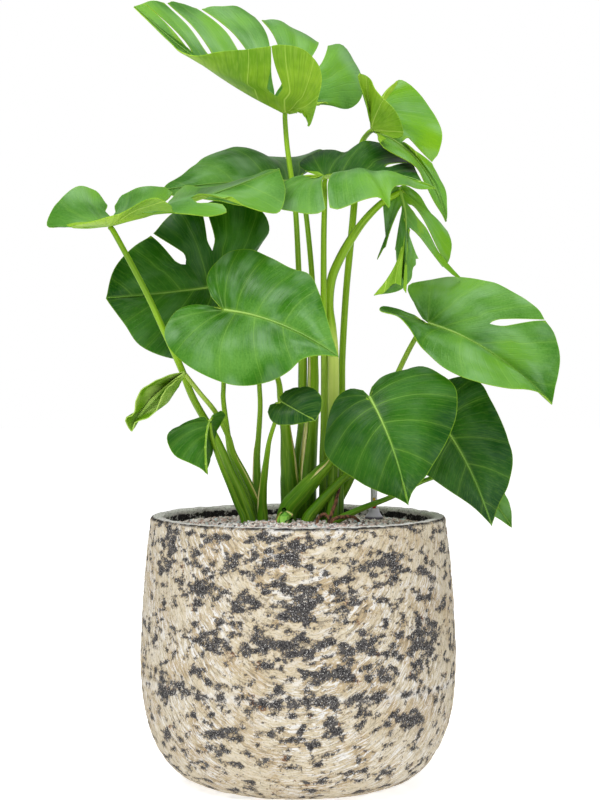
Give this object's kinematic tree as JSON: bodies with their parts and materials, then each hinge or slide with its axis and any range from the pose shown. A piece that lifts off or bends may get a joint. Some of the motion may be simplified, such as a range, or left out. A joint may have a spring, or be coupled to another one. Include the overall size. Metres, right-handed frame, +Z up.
{
  "type": "potted swiss cheese plant",
  "caption": "Young split-leaf climbing aroid with waxy heart-shaped and slit leaves on long sheathed stalks, in a bellied rough-cast planter of mineral granules with a water gauge.",
  "frame": {"origin": "centre of the planter's flat base, on the surface it stands on", "axes": "+Z up through the planter, +X to the viewer's right, +Y away from the viewer"},
  "size_m": [0.5817, 0.36, 0.8957],
  "materials": {
    "cast_stone": "rough cast mineral composite, brushed cream over charcoal pits with ochre staining",
    "granulate": "loose mineral granules, white, grey, pink and tan",
    "root_fibre": "dry brown root fibre",
    "leaf_blade": "waxy green blade, paler beneath, with pale veins and edge",
    "stalk": "smooth yellow-green stalk with a pale dry sheath edge",
    "clear_tube": "clear gloss plastic",
    "red_float": "red gloss plastic",
    "collar": "lilac-grey moulded plastic"
  },
  "bodies": {
    "root": {"planter": "cast_stone", "granules": "granulate", "root_ball": "root_fibre", "cane_stub": "stalk", "root_upright": "root_fibre", "root_trailing": "root_fibre", "root_looping": "root_fibre", "gauge_tube": "clear_tube", "gauge_float": "red_float", "gauge_collar": "collar", "leaf_top_blade": "leaf_blade", "leaf_top_stalk": "stalk", "leaf_left_blade": "leaf_blade", "leaf_left_stalk": "stalk", "leaf_centre_back_blade": "leaf_blade", "leaf_centre_back_stalk": "stalk", "leaf_centre_blade": "leaf_blade", "leaf_centre_stalk": "stalk", "leaf_right_high_blade": "leaf_blade", "leaf_right_high_stalk": "stalk", "leaf_drooping_blade": "leaf_blade", "leaf_drooping_stalk": "stalk", "leaf_back_left_blade": "leaf_blade", "leaf_back_left_stalk": "stalk", "leaf_front_heart_blade": "leaf_blade", "leaf_front_heart_stalk": "stalk", "leaf_low_right_blade": "leaf_blade", "leaf_low_right_stalk": "stalk", "leaf_behind_right_blade": "leaf_blade", "leaf_behind_right_stalk": "stalk", "leaf_right_slit_blade": "leaf_blade", "leaf_right_slit_stalk": "stalk", "leaf_small_left_blade": "leaf_blade", "leaf_small_left_stalk": "stalk", "leaf_small_centre_blade": "leaf_blade", "leaf_small_centre_stalk": "stalk", "leaf_curled_left_blade": "leaf_blade", "leaf_curled_left_stalk": "stalk", "leaf_small_behind_blade": "leaf_blade", "leaf_small_behind_stalk": "stalk", "leaf_sheltered_blade": "leaf_blade", "leaf_sheltered_stalk": "stalk"}
  },
  "joints": []
}
